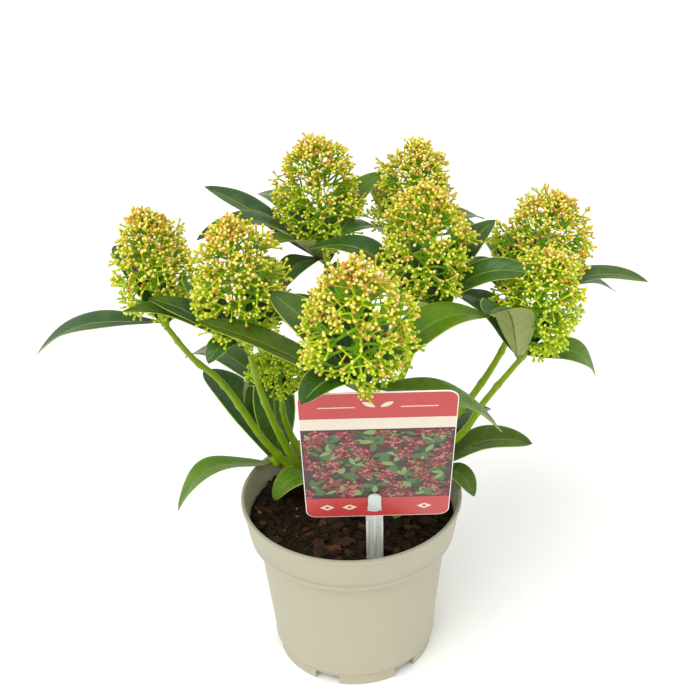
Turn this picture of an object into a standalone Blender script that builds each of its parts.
"""Skimmia in bud, in its nursery pot, with a plain plant label on a stake.

Lengths in the tables are millimetres and angles are degrees. Meshes are built in metres.
X is right, Y is away from the viewer, Z is up. The origin is the middle of the pot's underside.
"""
import math
import random

import bpy
import bmesh
from mathutils import Vector
from mathutils.bvhtree import BVHTree

MM = 0.001
GAP = 0.3

# Pot: a 13 cm nursery pot with a deep collar and a notched foot
RIM_RADIUS = 65.0
RIM_HEIGHT = 108.0
COLLAR_FOOT_RADIUS = 61.0
COLLAR_FOOT_HEIGHT = 83.5
BODY_TOP_RADIUS = 56.2
BODY_FOOT_RADIUS = 49.0
FOOT_HEIGHT = 10.0
FOOT_RADIUS = 48.0
WALL = 1.7
FLOOR_DISC_RADIUS = 30.0
DRAIN_RING_RADIUS = 44.0
DRAIN_RING_LIFT = 6.0
FLOOR_THICKNESS = 2.2
NOTCHES = 6
NOTCH_WIDTH = 15.0
NOTCH_TURN = 8.6
DRAIN_HOLES = 6
DRAIN_HOLE_RADIUS = 3.4
DRAIN_HOLE_SIDES = 8
EDGE = 0.6
RIM_BAND = 2.4
CORNER = 1.0
OVERCUT = 2.0
POT_SIDES = 32

# Compost
SOIL_TOP = 95.0
SOIL_SIDES = 24
SOIL_RINGS = (52, 42, 32, 21, 10)
SOIL_LUMP = 1.6
SOIL_SLACK = 0.2
ROOT_PATCH = 22.0

# Plant label: a card that leans forward on a stake pushed into the compost
CARD_WIDTH = 77.0
CARD_THICK = 0.7
CARD_CORNER = 6.0
CORNER_STEPS = 4
CARD_FOOT = (14.0, -50.0, 128.0)
CARD_HEAD = (14.0, -90.5, 230.5)
STAKE_X = 12.4
STAKE_WIDTH = 9.4
STAKE_THICK = 1.4
STAKE_END = (-44.0, 62.0)
STAKE_END_THICK = 0.6
STAKE_SOIL = (-46.5, 96.0)
STAKE_GRIP = 27.0
TONGUE_WIDTH = 7.0
TONGUE_LOW = 7.6
TONGUE_HIGH = 23.2
TONGUE_THICK = 1.3
TONGUE_ROOT = 0.9
SLOT_BELOW = 2.4
SLOT_HEIGHT = 4.8
RIB_WIDTH = 1.6
RIB_HEIGHT = 1.8
RIB_FOOT = 3.0

# Wood: each limb is a smooth tapering line through its points, with its foot and tip radius
LIMB_SIDES = 8
LIMB_STEPS = 2
ROOT_FLARE = 2.0
FLARE_SHARE = 0.25
LIMBS = {
    "trunk": (8.0, 6.6, [(-9, 26, 95.4), (-9, 26, 104), (-9, 26, 112)]),
    "bough_left": (4.6, 4.3, [(-10, 26, 101.5), (-24, 29, 102), (-38, 31, 101.5)]),
    "bough_right": (4.8, 4.3, [(-9, 26, 102), (14, 27, 101.5), (40, 25, 106)]),
    "stem_a": (2.9, 2.4, [(-35, 31, 102), (-53, 28, 129), (-72, 20, 171), (-88, 13, 194), (-98.5, 10, 208.2)]),
    "stem_b": (2.9, 2.4, [(-30, 30, 102), (-40, 16, 135), (-48, -6, 179), (-50.9, -28.3, 213.9)]),
    "stem_i": (2.9, 2.4, [(-23, 29, 102), (-33, 29, 123), (-38, 22, 145), (-39, 15.4, 157.1)]),
    "stem_f": (3.0, 2.4, [(-8, 23, 106), (-6, 20, 114), (0, 0, 140), (3, -38, 175), (5.9, -73.7, 215.5)]),
    "stem_e": (3.0, 2.4, [(-5, 26, 106), (-2, 25, 114), (10, 20, 140), (30, 8, 180), (41.8, 0.2, 218.3)]),
    "stem_d": (3.0, 2.4, [(-6, 28, 106), (-4, 31, 114), (10, 42, 140), (30, 64, 185), (38.7, 79.5, 219)]),
    "stem_c": (3.0, 2.4, [(-10, 28, 106), (-12, 30, 114), (-14, 38, 140), (-14, 52, 185), (-11, 59.9, 222.6)]),
    "stem_g": (2.9, 2.4, [(38, 25, 106), (74, 33, 152), (92, 37, 183), (99.9, 40, 204.8)]),
    "stem_h": (2.9, 2.4, [(31, 25, 105), (63, 14, 134), (77, 4, 165), (92.2, -10.2, 194.4)]),
}
# Limbs that a limb is cut clear of where it springs from them
SPRINGS_FROM = {
    "bough_left": ["trunk"],
    "bough_right": ["trunk"],
    "stem_a": ["bough_left"],
    "stem_b": ["bough_left", "stem_a"],
    "stem_i": ["bough_left", "stem_b", "trunk"],
    "stem_f": ["trunk"],
    "stem_e": ["trunk", "stem_f"],
    "stem_d": ["trunk", "stem_e"],
    "stem_c": ["trunk", "stem_d", "stem_f"],
    "stem_g": ["bough_right"],
    "stem_h": ["bough_right", "stem_g", "trunk"],
}

# Shoots: whorl point, top of the flower head, head radius, then the leaves of the whorl.
# A leaf is its heading, its rise, its length, its width, its arch over its length, and its roll.
SHOOTS = {
    "a": ((-100, 10, 216), (-107, 12, 287), 25, [
        (173, -18, 82, 25, .12, 0), (130, 36, 60, 20, .14, 0),
        (104, 24, 60, 20, .16, 0), (28, 14, 50, 20, .20, 0)]),
    "b": ((-51, -30, 221), (-57, -30, 299), 28, [
        (168, 13, 70, 28, .09, 12), (163, 24, 60, 18, .07, 0), (-128, 6, 30, 15, .25, 0),
        (146, 40, 54, 14, .08, -40), (80, 30, 62, 22, .15, 0), (20, 24, 46, 20, .20, 0)]),
    "c": ((-11, 60, 229), (-17, 60, 309), 30, [
        (172, 34, 84, 26, .03, 0), (-126, 30, 62, 20, .12, 0), (-160, 19, 80, 24, .20, 0),
        (36, 49, 64, 22, .14, 0), (-128, -6, 44, 20, .20, 0), (130, 22, 68, 24, .18, 0),
        (74, 12, 60, 22, .18, 0)]),
    "d": ((39, 80, 226), (45, 80, 299), 27, [
        (-128, 28, 74, 20, .12, 0), (32, 4, 56, 22, .16, 0), (70, 20, 66, 24, .20, 0),
        (115, 28, 62, 22, .16, 0), (-30, 30, 50, 20, .20, 0)]),
    "e": ((42, 0, 225), (44, 0, 302), 30, [
        (160, 24, 72, 24, .20, 0), (35, 42, 66, 22, .08, 0), (58, 18, 54, 22, .12, 0),
        (-78, 31, 44, 20, .10, 0), (-14, 23, 66, 16, .16, 30), (105, 30, 60, 22, .15, 0)]),
    "f": ((6, -76, 223), (4, -84, 299), 31, [
        (162, 18, 88, 27, .03, 10), (-133, 15, 42, 22, .22, 0), (17, -30, 88, 28, .10, 0),
        (108, 58, 66, 24, .04, 0), (143, 36, 68, 25, .06, 0),
        (34, 9, 82, 28, .16, 0), (82, 12, 54, 22, .15, 0)]),
    "g": ((101, 40, 211), (120, 40, 281), 31, [
        (130, 60, 42, 18, .10, 0), (58, 14, 64, 22, .20, 0), (18, -8, 62, 18, .14, 0),
        (80, 50, 44, 18, .10, 0), (-2, 7, 72, 20, .12, 0), (150, 18, 46, 22, .15, 0),
        (105, 12, 60, 22, .20, 0)]),
    "h": ((94, -12, 202), (110, -12, 268), 27, [
        (-122, 47, 68, 26, .20, 0), (12, -26, 49, 19, .20, 20), (140, 30, 54, 20, .20, 0),
        (60, 5, 50, 20, .20, 0)]),
    "i": ((-39, 15, 164), (-41, 15, 206), 19, [
        (141, 0, 78, 23, .18, 0), (180, -15, 22, 18, .60, 0), (18, 12, 48, 20, .18, 0),
        (90, 14, 46, 20, .20, 0)]),
}
# Leafy shoots with no flower, low on the boughs: foot, tip, then their leaves
LOW_SHOOTS = {
    "low_left": ((-41.2, 31.8, 101.2), (-48, 33, 110), [
        (140, 38, 76, 28, .10, 0), (98, 56, 68, 26, .05, 0), (-158, -16, 66, 25, .26, 10)]),
    "low_mid": ((-16, 19.5, 99), (-20, 14, 100), [
        (-150, 4, 34, 20, .35, 0)]),
    "low_right": ((41.7, 23.4, 103.8), (50, 21, 105), [
        (-6, 20, 68, 27, .16, 0), (-40, -6, 33, 17, .32, 0), (-112, 8, 62, 20, .15, 0),
        (36, 24, 60, 22, .25, 0), (74, 12, 58, 22, .20, 0)]),
}
WHORL_REACH = 5.5
WHORL_RADIUS = 2.3
WHORL_SIDES = 6
WHORL_LOW = 0.25
WHORL_HIGH = 0.75
LEAF_STEPS = 6
LEAF_THICK = 1.2
LEAF_FOLD = 0.28
LEAF_WIDEST = 0.58
LEAF_FULLNESS = 2.2
LEAF_SKEW = 1.3
STALK_WIDTH = 2.4
STALK_SHARE = 0.3
CLEARANCE = 0.4

# Flower heads: sprays of buds on a spiral up a stout axis
SPRAYS = 40
SPIRAL = 137.5
FORK_LOW = 0.05
FORK_RUN = 0.72
HEAD_WIDEST = 0.32
HEAD_LOW = 0.06
HEAD_WAIST = 0.35
HEAD_CROWN = 2.2
HEAD_SHOULDER = 0.65
EVENNESS = (0.88, 1.0)
AXIS_RADIUS = 1.7
AXIS_TAPER = 0.5
AXIS_SIDES = 5
SPRAY_RADIUS = 0.85
SPRAY_TAPER = 0.8
KNOB_RADIUS = 4.6
KNOB_POINT = 0.4
KNOB_OVERHANG = 0.4
REACHES = (1.0, 0.85, 0.7, 0.55)
SEED = 7


def metres(place):
    """A point of the tables, as a vector in metres."""
    return Vector(place) * MM


def material(name, colour, roughness):
    """A Principled material in one colour."""
    made = bpy.data.materials.new(name)
    made.use_nodes = True
    shader = made.node_tree.nodes["Principled BSDF"]
    shader.inputs["Base Color"].default_value = (*colour, 1.0)
    shader.inputs["Roughness"].default_value = roughness
    return made


def add_object(name, shape, finish=None):
    """Makes an object from the vertices and faces of a shape."""
    verts, faces = shape
    mesh = bpy.data.meshes.new(name)
    mesh.from_pydata(verts, [], faces)
    mesh.update()
    thing = bpy.data.objects.new(name, mesh)
    bpy.context.scene.collection.objects.link(thing)
    if finish:
        mesh.materials.append(finish)
    return thing


def smooth(thing, angle=40):
    """Shades a round piece smooth, with its corners kept sharp."""
    thing.data.shade_smooth()
    thing.data.set_sharp_from_angle(angle=math.radians(angle))


def apply_modifiers(thing):
    """Turns what the modifiers make of an object into its own mesh."""
    graph = bpy.context.evaluated_depsgraph_get()
    result = bpy.data.meshes.new_from_object(thing.evaluated_get(graph))
    thing.modifiers.clear()
    old = thing.data
    thing.data = result
    result.name = thing.name
    bpy.data.meshes.remove(old)


def remove(thing):
    """Removes an object and its mesh."""
    mesh = thing.data
    bpy.data.objects.remove(thing)
    bpy.data.meshes.remove(mesh)


def keep_main_body(thing):
    """Drops loose scraps and fills sealed hollows, so that one closed body is left."""
    sheet = bmesh.new()
    sheet.from_mesh(thing.data)
    unseen = set(sheet.faces)
    islands = []
    while unseen:
        queue = [unseen.pop()]
        island = list(queue)
        while queue:
            face = queue.pop()
            for edge in face.edges:
                for other in edge.link_faces:
                    if other in unseen:
                        unseen.remove(other)
                        queue.append(other)
                        island.append(other)
        islands.append(island)
    islands.sort(key=lambda island: sum(face.calc_area() for face in island))
    for island in islands[:-1]:
        bmesh.ops.delete(sheet, geom=island, context="FACES")
    loose = [vert for vert in sheet.verts if not vert.link_faces]
    bmesh.ops.delete(sheet, geom=loose, context="VERTS")
    sheet.to_mesh(thing.data)
    sheet.free()


def boolean(thing, others, operation):
    """Joins others to an object or cuts them from it, in one Boolean on a collection."""
    group = bpy.data.collections.new(thing.name + "_group")
    bpy.context.scene.collection.children.link(group)
    for other in others:
        for home in other.users_collection:
            home.objects.unlink(other)
        group.objects.link(other)
        other.hide_render = True
        other.display_type = "WIRE"
    step = thing.modifiers.new(operation.lower(), "BOOLEAN")
    step.operation = operation
    step.operand_type = "COLLECTION"
    step.collection = group
    step.solver = "EXACT"
    apply_modifiers(thing)
    for other in others:
        remove(other)
    bpy.data.collections.remove(group)
    keep_main_body(thing)


def lathe(profile, sides):
    """A closed solid turned from a profile of (radius, height) that starts and ends on the axis."""
    verts = []
    rings = []
    for radius, height in profile:
        if radius == 0:
            rings.append([len(verts)])
            verts.append(metres((0, 0, height)))
            continue
        rings.append(list(range(len(verts), len(verts) + sides)))
        for side in range(sides):
            turn = 2 * math.pi * side / sides
            verts.append(metres((radius * math.cos(turn), radius * math.sin(turn), height)))
    faces = []
    for low, high in zip(rings, rings[1:]):
        for side in range(sides):
            after = (side + 1) % sides
            if len(low) == 1:
                faces.append((low[0], high[after], high[side]))
            elif len(high) == 1:
                faces.append((low[side], low[after], high[0]))
            else:
                faces.append((low[side], low[after], high[after], high[side]))
    return verts, faces


def frames(points):
    """Tangent and two cross directions at each point of a line, turned as little as possible."""
    result = []
    across = None
    for index in range(len(points)):
        before = points[max(index - 1, 0)]
        after = points[min(index + 1, len(points) - 1)]
        along = (after - before).normalized()
        if across is None:
            start = Vector((1, 0, 0)) if abs(along.x) < 0.8 else Vector((0, 1, 0))
            across = start
        across = (across - along * across.dot(along)).normalized()
        result.append((along, across, along.cross(across)))
    return result


def tube(points, radii, sides):
    """A closed round bar along a line, with a radius at each point."""
    verts = []
    for point, radius, (_, across, up) in zip(points, radii, frames(points)):
        for side in range(sides):
            turn = 2 * math.pi * side / sides
            verts.append(point + (across * math.cos(turn) + up * math.sin(turn)) * radius)
    faces = [tuple(range(sides))[::-1]]
    for ring in range(len(points) - 1):
        low = ring * sides
        for side in range(sides):
            after = (side + 1) % sides
            faces.append((low + side, low + after, low + sides + after, low + sides + side))
    last = (len(points) - 1) * sides
    faces.append(tuple(range(last, last + sides)))
    return verts, faces


def smooth_line(points, steps):
    """A smooth line through the points, with so many steps between each two."""
    line = []
    for index in range(len(points) - 1):
        first = points[max(index - 1, 0)]
        start = points[index]
        end = points[index + 1]
        last = points[min(index + 2, len(points) - 1)]
        for step in range(steps):
            t = step / steps
            line.append(0.5 * (2 * start + (end - first) * t
                               + (2 * first - 5 * start + 4 * end - last) * t ** 2
                               + (3 * start - first - 3 * end + last) * t ** 3))
    line.append(points[-1])
    return line


def pot():
    """A nursery pot: a thin moulded shell with a collar, a drained floor and a notched foot."""
    raised = DRAIN_RING_LIFT + FLOOR_THICKNESS
    shoulder = COLLAR_FOOT_HEIGHT + WALL
    mouth = RIM_RADIUS - WALL
    profile = [
        (0, 0),
        (FLOOR_DISC_RADIUS, 0),
        (FLOOR_DISC_RADIUS + CORNER, DRAIN_RING_LIFT),
        (DRAIN_RING_RADIUS, DRAIN_RING_LIFT),
        (DRAIN_RING_RADIUS + EDGE, 0),
        (FOOT_RADIUS - EDGE, 0),
        (FOOT_RADIUS, CORNER),
        (FOOT_RADIUS, FOOT_HEIGHT - EDGE),
        (BODY_FOOT_RADIUS, FOOT_HEIGHT),
        (BODY_TOP_RADIUS, COLLAR_FOOT_HEIGHT - EDGE),
        (BODY_TOP_RADIUS + EDGE, COLLAR_FOOT_HEIGHT),
        (COLLAR_FOOT_RADIUS - EDGE, COLLAR_FOOT_HEIGHT),
        (COLLAR_FOOT_RADIUS, COLLAR_FOOT_HEIGHT + EDGE),
        (RIM_RADIUS - EDGE, RIM_HEIGHT - RIM_BAND - EDGE),
        (RIM_RADIUS, RIM_HEIGHT - RIM_BAND),
        (RIM_RADIUS, RIM_HEIGHT - EDGE),
        (RIM_RADIUS - EDGE, RIM_HEIGHT),
        (mouth, RIM_HEIGHT),
        (mouth - EDGE, RIM_HEIGHT - EDGE),
        (COLLAR_FOOT_RADIUS - WALL, shoulder),
        (BODY_TOP_RADIUS - WALL, shoulder - EDGE),
        (BODY_FOOT_RADIUS - WALL, raised + CORNER),
        (BODY_FOOT_RADIUS - WALL - CORNER, raised),
        (FLOOR_DISC_RADIUS, raised),
        (FLOOR_DISC_RADIUS - CORNER, FLOOR_THICKNESS),
        (0, FLOOR_THICKNESS),
    ]
    shell = add_object("pot", lathe(profile, POT_SIDES), material("pot", (.56, .54, .42), .5))
    cutters = []
    for notch in range(NOTCHES):
        turn = math.radians(NOTCH_TURN + 360 * notch / NOTCHES)
        out = Vector((math.cos(turn), math.sin(turn), 0))
        low = out * (DRAIN_RING_RADIUS - OVERCUT) - Vector((0, 0, OVERCUT))
        high = low + Vector((0, 0, OVERCUT + DRAIN_RING_LIFT + GAP))
        side = Vector((-out.y, out.x, 0)) * NOTCH_WIDTH / 2
        far = out * (FOOT_RADIUS - DRAIN_RING_RADIUS + 2 * OVERCUT)
        corners = []
        for start in (low, high):
            corners += [start - side, start + far - side, start + far + side, start + side]
        box = [corner * MM for corner in corners]
        faces = [(3, 2, 1, 0), (4, 5, 6, 7), (0, 1, 5, 4), (1, 2, 6, 5), (2, 3, 7, 6), (3, 0, 4, 7)]
        cutters.append(add_object(f"notch_{notch}", (box, faces)))
    middle = (FLOOR_DISC_RADIUS + DRAIN_RING_RADIUS) / 2
    for hole in range(DRAIN_HOLES):
        turn = 2 * math.pi * (hole + 0.5) / DRAIN_HOLES
        foot = metres((middle * math.cos(turn), middle * math.sin(turn), DRAIN_RING_LIFT - OVERCUT))
        head = foot + metres((0, 0, FLOOR_THICKNESS + 2 * OVERCUT))
        drill = tube([foot, head], [DRAIN_HOLE_RADIUS * MM] * 2, DRAIN_HOLE_SIDES)
        cutters.append(add_object(f"hole_{hole}", drill))
    boolean(shell, cutters, "DIFFERENCE")
    smooth(shell)


def soil_height(across, away, rng):
    """The lumpy top of the compost, level round the woody foot of the plant."""
    foot = LIMBS["trunk"][2][0]
    if math.hypot(across - foot[0], away - foot[1]) < ROOT_PATCH:
        return SOIL_TOP
    return SOIL_TOP + rng.uniform(-SOIL_LUMP, SOIL_LUMP * 0.6)


def soil():
    """The compost that fills the pot, with the slot that the stake was pushed into."""
    rng = random.Random(SEED)
    low = FLOOR_THICKNESS + GAP
    raised = DRAIN_RING_LIFT + FLOOR_THICKNESS + GAP
    shoulder = COLLAR_FOOT_HEIGHT + WALL + GAP
    skin = WALL + GAP + SOIL_SLACK
    profile = [
        (0, low),
        (FLOOR_DISC_RADIUS - CORNER - 2 * GAP, low),
        (FLOOR_DISC_RADIUS - GAP, raised),
        (BODY_FOOT_RADIUS - skin - 2 * CORNER, raised),
        (BODY_FOOT_RADIUS - skin, raised + 2 * CORNER),
        (BODY_TOP_RADIUS - skin, shoulder - 2 * EDGE),
        (BODY_TOP_RADIUS - skin, shoulder),
        (COLLAR_FOOT_RADIUS - skin, shoulder + SOIL_SLACK),
        (COLLAR_FOOT_RADIUS - skin + CORNER, SOIL_TOP),
    ]
    profile += [(radius, SOIL_TOP) for radius in SOIL_RINGS]
    profile.append((0, SOIL_TOP))
    verts, faces = lathe(profile, SOIL_SIDES)
    for vert in verts:
        level = abs(vert.z - SOIL_TOP * MM) < 1e-6
        if level and vert.xy.length < (SOIL_RINGS[0] + CORNER) * MM:
            vert.z = soil_height(vert.x / MM, vert.y / MM, rng) * MM
    fill = add_object("soil", (verts, faces), material("soil", (.045, .028, .018), .95))
    cutter = add_object("slot", sheet_across(stake_side(GAP), STAKE_X, STAKE_WIDTH + 2 * GAP))
    boolean(fill, [cutter], "DIFFERENCE")


def card_frame():
    """The foot of the card, and the directions up the card and out of its face."""
    foot = Vector(CARD_FOOT)
    up = Vector(CARD_HEAD) - foot
    height = up.length
    up.normalize()
    out = Vector((0, -up.z, up.y))
    return foot, up, out, height


def sheet_across(side, middle, width):
    """A closed bar of one side view of (away, height), as wide as given about x = middle."""
    left = [metres((middle - width / 2, away, height)) for away, height in side]
    right = [metres((middle + width / 2, away, height)) for away, height in side]
    count = len(side)
    faces = [tuple(range(count)), tuple(range(2 * count - 1, count - 1, -1))]
    for index in range(count):
        after = (index + 1) % count
        faces.append((after, index, count + index, count + after))
    return left + right, faces


def stake_side(extra=0.0):
    """Side view of the stake: its end in the compost, its bend, and its grip behind the card."""
    foot, up, out, _ = card_frame()
    seat = foot - out * (STAKE_THICK / 2 + GAP)
    head = seat + up * STAKE_GRIP
    end_away, end_high = STAKE_END
    middle = [(end_away, end_high - extra), STAKE_SOIL, (seat.y, seat.z), (head.y, head.z)]
    halves = [STAKE_END_THICK / 2 + extra] + [STAKE_THICK / 2 + extra] * 3
    front = [(away - half, height) for (away, height), half in zip(middle, halves)]
    back = [(away + half, height) for (away, height), half in zip(middle, halves)]
    return front + back[::-1]


def stake():
    """The label's stake, with the tongue that comes through the card's slot and holds it."""
    clear = material("label_stake", (.86, .87, .84), .3)
    body = add_object("label_stake", sheet_across(stake_side(), STAKE_X, STAKE_WIDTH), clear)
    foot, up, out, _ = card_frame()
    deep = foot - out * (STAKE_THICK / 2 + GAP) + up * TONGUE_LOW
    face = foot + out * (CARD_THICK + GAP)
    low = face + up * (TONGUE_LOW - TONGUE_ROOT)
    high = face + up * TONGUE_HIGH
    thick = out * TONGUE_THICK
    corners = [
        deep - up * TONGUE_ROOT, low, low + thick + up * EDGE, high + thick - up * EDGE,
        high + thick / 2, high - up * EDGE, face + up * (TONGUE_LOW + TONGUE_ROOT),
        deep + up * TONGUE_ROOT,
    ]
    side = [(corner.y, corner.z) for corner in corners]
    tongue = add_object("tongue", sheet_across(side, STAKE_X, TONGUE_WIDTH))
    soil_away, soil_high = STAKE_SOIL
    _, card_away, card_high = CARD_FOOT
    rib_side = [
        (soil_away, soil_high + RIB_FOOT), (soil_away + RIB_HEIGHT, soil_high + RIB_FOOT),
        (card_away + RIB_HEIGHT + 2, card_high), (card_away + 1, card_high),
    ]
    rib = add_object("rib", sheet_across(rib_side, STAKE_X, RIB_WIDTH))
    for piece in (body, tongue, rib):
        turn_outward(piece)
    boolean(body, [tongue, rib], "UNION")


def turn_outward(thing):
    """Turns the faces of a closed mesh to point out."""
    sheet = bmesh.new()
    sheet.from_mesh(thing.data)
    bmesh.ops.recalc_face_normals(sheet, faces=sheet.faces)
    sheet.to_mesh(thing.data)
    sheet.free()


def card():
    """The printed card: a thin plate with round corners and a slot for the stake's tongue."""
    foot, up, out, height = card_frame()
    outline = []
    for turn in range(4):
        across = CARD_WIDTH / 2 - CARD_CORNER
        if turn in (1, 2):
            across = -across
        high = height - CARD_CORNER if turn in (0, 1) else CARD_CORNER
        for step in range(CORNER_STEPS + 1):
            angle = math.pi / 2 * (turn + step / CORNER_STEPS)
            outline.append((across + CARD_CORNER * math.cos(angle),
                            high + CARD_CORNER * math.sin(angle)))
    back = [(foot + Vector((across, 0, 0)) + up * high) * MM for across, high in outline]
    front = [corner + out * CARD_THICK * MM for corner in back]
    count = len(outline)
    faces = [tuple(range(count)), tuple(range(2 * count - 1, count - 1, -1))]
    for index in range(count):
        after = (index + 1) % count
        faces.append((after, index, count + index, count + after))
    plate = add_object("label_card", (back + front, faces), material("label_card", (.62, .16, .14), .4))
    low = foot + up * (TONGUE_LOW - SLOT_BELOW) - out * OVERCUT
    through = out * (CARD_THICK + 2 * OVERCUT)
    side = [low, low + through, low + through + up * SLOT_HEIGHT, low + up * SLOT_HEIGHT]
    side = [(corner.y, corner.z) for corner in side]
    slot = add_object("slot", sheet_across(side, STAKE_X, TONGUE_WIDTH + CORNER))
    for piece in (plate, slot):
        turn_outward(piece)
    boolean(plate, [slot], "DIFFERENCE")


def limb_shape(name, extra=0.0):
    """A limb's tapering bar, which may be swollen by an extra width to cut its neighbours."""
    foot_radius, tip_radius, points = LIMBS[name]
    line = smooth_line([Vector(point) for point in points], LIMB_STEPS)
    count = len(line) - 1
    radii = []
    for index in range(count + 1):
        share = index / count
        flare = ROOT_FLARE * max(0.0, 1 - share / FLARE_SHARE) if name == "trunk" else 0.0
        radii.append((foot_radius + (tip_radius - foot_radius) * share + flare + extra) * MM)
    if extra:
        first = line[0] - (line[1] - line[0]).normalized() * extra
        last = line[-1] + (line[-1] - line[-2]).normalized() * extra
        line = [first] + line[1:-1] + [last]
    return tube([point * MM for point in line], radii, LIMB_SIDES)


def limb(name):
    """One limb, cut clear of those it springs from by the joint's gap."""
    bark = material(name, (.30, .24, .13) if name == "trunk" else (.27, .36, .06), .6)
    bar = add_object(name, limb_shape(name), bark)
    parents = SPRINGS_FROM.get(name, [])
    if parents:
        cutters = [add_object("cut_" + parent, limb_shape(parent, GAP)) for parent in parents]
        boolean(bar, cutters, "DIFFERENCE")
    smooth(bar)
    return bar


def leaf_line(base, leaf):
    """Stations along a leaf: its midrib point, direction across, direction up, and half width."""
    heading, rise, length, width, arch, roll = leaf
    heading = math.radians(heading)
    rise = math.radians(rise)
    roll = math.radians(roll)
    chord = Vector((math.cos(rise) * math.cos(heading), math.cos(rise) * math.sin(heading), math.sin(rise)))
    side = Vector((-math.sin(heading), math.cos(heading), 0))
    up = chord.cross(side)
    shares = [index / LEAF_STEPS for index in range(LEAF_STEPS + 1)]
    middle = [base + chord * length * share + up * arch * length * math.sin(math.pi * share ** LEAF_SKEW)
              for share in shares]
    stations = []
    for index, share in enumerate(shares):
        before = middle[max(index - 1, 0)]
        after = middle[min(index + 1, LEAF_STEPS)]
        normal = (after - before).normalized().cross(side)
        across = side * math.cos(roll) + normal * math.sin(roll)
        face = (after - before).normalized().cross(across)
        low = LEAF_WIDEST * LEAF_FULLNESS
        high = (1 - LEAF_WIDEST) * LEAF_FULLNESS
        wide = width * (share / LEAF_WIDEST) ** low * ((1 - share) / (1 - LEAF_WIDEST)) ** high
        if share < STALK_SHARE:
            wide = max(wide, STALK_WIDTH)
        stations.append((middle[index], across, face, wide / 2))
    return stations


def leaf_shape(base, leaf, extra=0.0):
    """A leaf as a thin closed blade, folded along its midrib and sharp at its edge."""
    stations = leaf_line(base, leaf)
    half_thick = LEAF_THICK / 2 + extra
    verts = []
    for middle, across, face, half in stations[:-1]:
        half = half + extra
        lift = face * LEAF_FOLD * half
        verts += [middle - across * half + lift, middle + face * half_thick,
                  middle + across * half + lift, middle - face * half_thick]
    tip = stations[-1][0]
    verts.append(tip + (tip - stations[-2][0]).normalized() * extra)
    faces = [(0, 1, 2, 3)]
    rings = len(stations) - 1
    for ring in range(rings - 1):
        for side in range(4):
            after = (side + 1) % 4
            low = ring * 4
            corners = (low + side, low + 4 + side, low + 4 + after, low + after)
            faces.append((corners[0], corners[1], corners[2]))
            faces.append((corners[0], corners[2], corners[3]))
    last = (rings - 1) * 4
    for side in range(4):
        faces.append((last + side, 4 * rings, last + (side + 1) % 4))
    return [vert * MM for vert in verts], faces


def spray_shape(fork, end, extra=0.0):
    """A three-sided twig that swells into the knob of its spray of buds, as one closed solid."""
    along = (end - fork).normalized()
    neck = end - along * KNOB_RADIUS
    line = [fork - along * extra, neck, end]
    radii = [SPRAY_RADIUS + extra, SPRAY_RADIUS * SPRAY_TAPER + extra, KNOB_RADIUS + extra]
    verts, faces = tube([place * MM for place in line], [radius * MM for radius in radii], 3)
    verts.append((end + along * (KNOB_RADIUS * KNOB_POINT + extra)) * MM)
    faces.pop()
    faces += [(6, 7, 9), (7, 8, 9), (8, 6, 9)]
    return verts, faces


class Space:
    """The solids placed so far, to keep each new piece clear of them."""

    def __init__(self):
        self.trees = []

    def add(self, owner, shape):
        self.trees.append((owner, BVHTree.FromPolygons(*shape)))

    def is_clear(self, owner, shape):
        tree = BVHTree.FromPolygons(*shape)
        for who, other in self.trees:
            if who != owner and other.overlap(tree):
                return False
        return True


def mesh_shape(thing):
    """The vertices and faces of an object, for the space it takes."""
    verts = [vert.co.copy() for vert in thing.data.vertices]
    faces = [tuple(face.vertices) for face in thing.data.polygons]
    return verts, faces


def fuse(name, shapes, finish):
    """Joins the shapes of one mass into one closed solid."""
    body = add_object(name, shapes[0], finish)
    others = [add_object(f"{name}_{index}", shape) for index, shape in enumerate(shapes[1:])]
    boolean(body, others, "UNION")
    return body


def whorl(name, foot, tip, leaves, space, finish):
    """The leafy end of a shoot: a short stem with its leaves sunk into it, clear of the limbs."""
    shapes = [tube([foot * MM, tip * MM], [WHORL_RADIUS * MM] * 2, WHORL_SIDES)]
    count = max(len(leaves) - 1, 1)
    steepest_first = sorted(leaves, key=lambda leaf: leaf[1], reverse=True)
    for index, leaf in enumerate(steepest_first):
        base = foot.lerp(tip, WHORL_LOW + (WHORL_HIGH - WHORL_LOW) * index / count)
        if space.is_clear(name, leaf_shape(base, leaf, CLEARANCE)):
            shapes.append(leaf_shape(base, leaf))
    for shape in shapes:
        space.add(name, shape)
    fuse(name, shapes, finish)


def dome(share, turn, foot, height, radius, axes):
    """A point on the egg-shaped outside of a flower head."""
    along, across, up = axes
    if share > HEAD_WIDEST:
        wide = (1 - ((share - HEAD_WIDEST) / (1 - HEAD_WIDEST)) ** HEAD_CROWN) ** HEAD_SHOULDER
    else:
        wide = 1 - HEAD_WAIST * ((HEAD_WIDEST - share) / HEAD_WIDEST) ** 2
    out = across * math.cos(turn) + up * math.sin(turn)
    return foot + along * height * (HEAD_LOW + (1 - HEAD_LOW) * share) + out * radius * wide


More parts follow.
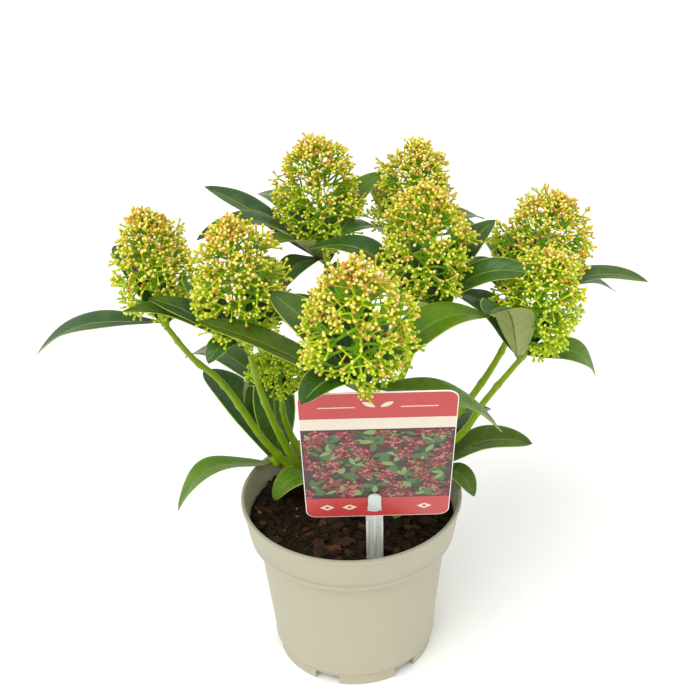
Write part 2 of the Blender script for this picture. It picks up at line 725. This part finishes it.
def flower_head(name, foot, tip, radius, space, finish, rng):
    """A head of buds: a stout axis, and sprays on a spiral round it that end in knobs."""
    height = (tip - foot).length
    axes = frames([foot, tip])[0]
    crown = foot.lerp(tip, 1 - KNOB_RADIUS / height)
    thick = AXIS_RADIUS * MM
    shapes = [tube([foot * MM, crown * MM], [thick, thick * AXIS_TAPER], AXIS_SIDES)]
    for spray in range(SPRAYS):
        share = (spray + 0.5) / SPRAYS
        turn = math.radians(SPIRAL * spray)
        start = foot.lerp(tip, FORK_LOW + FORK_RUN * share)
        wide = (radius - KNOB_RADIUS * KNOB_OVERHANG) * rng.uniform(*EVENNESS)
        outside = dome(share, turn, foot, height - KNOB_RADIUS * KNOB_POINT, wide, axes)
        for reach in REACHES:
            end = start.lerp(outside, reach)
            if space.is_clear(name, spray_shape(start, end, CLEARANCE)):
                shapes.append(spray_shape(start, end))
                break
    for shape in shapes:
        space.add(name, shape)
    fuse(name, shapes, finish)


for old in list(bpy.data.objects):
    bpy.data.objects.remove(old)

pot()
soil()
stake()
card()
taken = Space()
for piece_name in ("pot", "soil", "label_stake", "label_card"):
    taken.add(piece_name, mesh_shape(bpy.data.objects[piece_name]))
for limb_name in LIMBS:
    taken.add(limb_name, mesh_shape(limb(limb_name)))

for shoot_name, (whorl_point, head_top, _, shoot_leaves) in SHOOTS.items():
    point = Vector(whorl_point)
    heading_up = (Vector(head_top) - point).normalized()
    green = material("leaves_" + shoot_name, (.045, .13, .03), .35)
    whorl("leaves_" + shoot_name, point - heading_up * WHORL_REACH, point + heading_up * WHORL_REACH,
          shoot_leaves, taken, green)
for shoot_name, (low_foot, low_tip, shoot_leaves) in LOW_SHOOTS.items():
    green = material("leaves_" + shoot_name, (.045, .13, .03), .35)
    whorl("leaves_" + shoot_name, Vector(low_foot), Vector(low_tip), shoot_leaves, taken, green)
chance = random.Random(SEED)
for shoot_name, (whorl_point, head_top, head_radius, _) in SHOOTS.items():
    point = Vector(whorl_point)
    top = Vector(head_top)
    head_foot = point + (top - point).normalized() * (WHORL_REACH + GAP)
    blossom = material("buds_" + shoot_name, (.50, .52, .10), .5)
    flower_head("buds_" + shoot_name, head_foot, top, head_radius, taken, blossom, chance)
